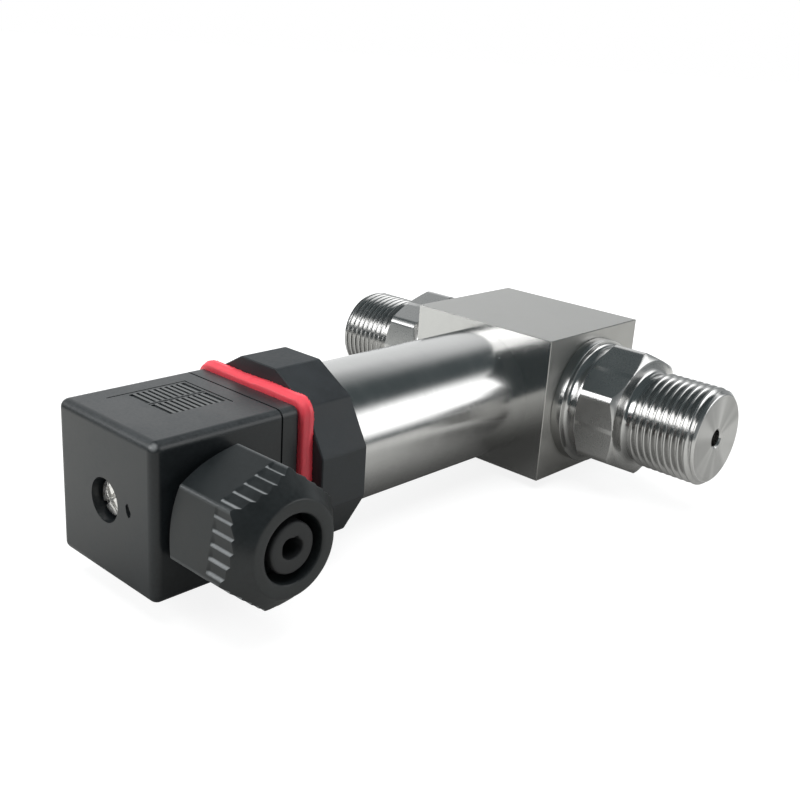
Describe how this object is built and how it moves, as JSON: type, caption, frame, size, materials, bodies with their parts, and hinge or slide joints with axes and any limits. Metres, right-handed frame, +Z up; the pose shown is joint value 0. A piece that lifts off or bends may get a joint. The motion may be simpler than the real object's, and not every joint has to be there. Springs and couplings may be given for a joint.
{
  "type": "differential pressure transmitter",
  "caption": "Differential pressure transmitter: steel block with a threaded port on each side, tubular body, twelve-sided base and a square plug with a side cable gland.",
  "frame": {"origin": "bottom centre of the whole: under mid-length, at the height of the twelve-sided base's lowest flat", "axes": "+X along the port axis to the high-side port and the cable gland's side, +Y along the body axis from the plug to the block, +Z up"},
  "size_m": [0.0968, 0.123, 0.0342],
  "materials": {
    "stainless_block": "satin milled top, polished sides",
    "stainless_turned": "bright turned",
    "stainless_foil": "bright foil",
    "black_rubber": "matt",
    "plated_contact": "tin plated",
    "green_board": "solder resist",
    "pale_plastic": "moulded",
    "chip_resin": "moulded resin",
    "component_body": "ceramic and resin bodies",
    "black_glass_nylon": "glass-filled, slightly grainy",
    "brass_insert": "turned",
    "red_silicone": "moulded silicone",
    "lead_insulation": "smooth sheath",
    "black_plug_plastic": "satin moulded",
    "grey_insert_plastic": "moulded",
    "nickel_screw": "nickel plated",
    "black_nut_plastic": "satin moulded"
  },
  "bodies": {
    "transmitter": {"manifold_block": "stainless_block", "body_tube": "stainless_turned", "high_port_fitting": "stainless_turned", "low_port_fitting": "stainless_turned", "high_port_seal": "black_rubber", "low_port_seal": "black_rubber", "high_sensor_seal": "black_rubber", "low_sensor_seal": "black_rubber", "sensor_capsule": "stainless_turned", "high_diaphragm": "stainless_foil", "low_diaphragm": "stainless_foil", "header_pins": "plated_contact", "circuit_board": "green_board", "board_supports": "pale_plastic", "signal_chip": "chip_resin", "board_components": "component_body", "connector_base": "black_glass_nylon", "base_o_ring": "black_rubber", "screw_insert": "brass_insert", "contact_blades": "plated_contact", "earth_blade": "plated_contact", "flat_gasket": "red_silicone", "sensor_leads": "lead_insulation", "output_leads": "lead_insulation"},
    "plug": {"plug_housing": "black_plug_plastic", "terminal_insert": "grey_insert_plastic", "socket_contacts": "plated_contact", "terminal_screws": "nickel_screw", "screw_seal": "black_rubber", "gland_grommet": "black_rubber", "gland_washer": "pale_plastic"},
    "centre_screw": {"centre_screw": "nickel_screw"},
    "gland_nut": {"gland_nut": "black_nut_plastic"}
  },
  "joints": [
    {"name": "plug_pull", "type": "slide", "parent": "transmitter", "child": "plug", "axis": [0, -1, 0], "range_m": [0, 0.016]},
    {"name": "centre_screw_turn", "type": "hinge", "parent": "plug", "child": "centre_screw", "pos_m": [0, -0.0593, 0.0171], "axis": [0, -1, 0], "continuous": true},
    {"name": "gland_nut_turn", "type": "hinge", "parent": "plug", "child": "gland_nut", "pos_m": [0.031, -0.0498, 0.0171], "axis": [1, 0, 0], "continuous": true}
  ]
}
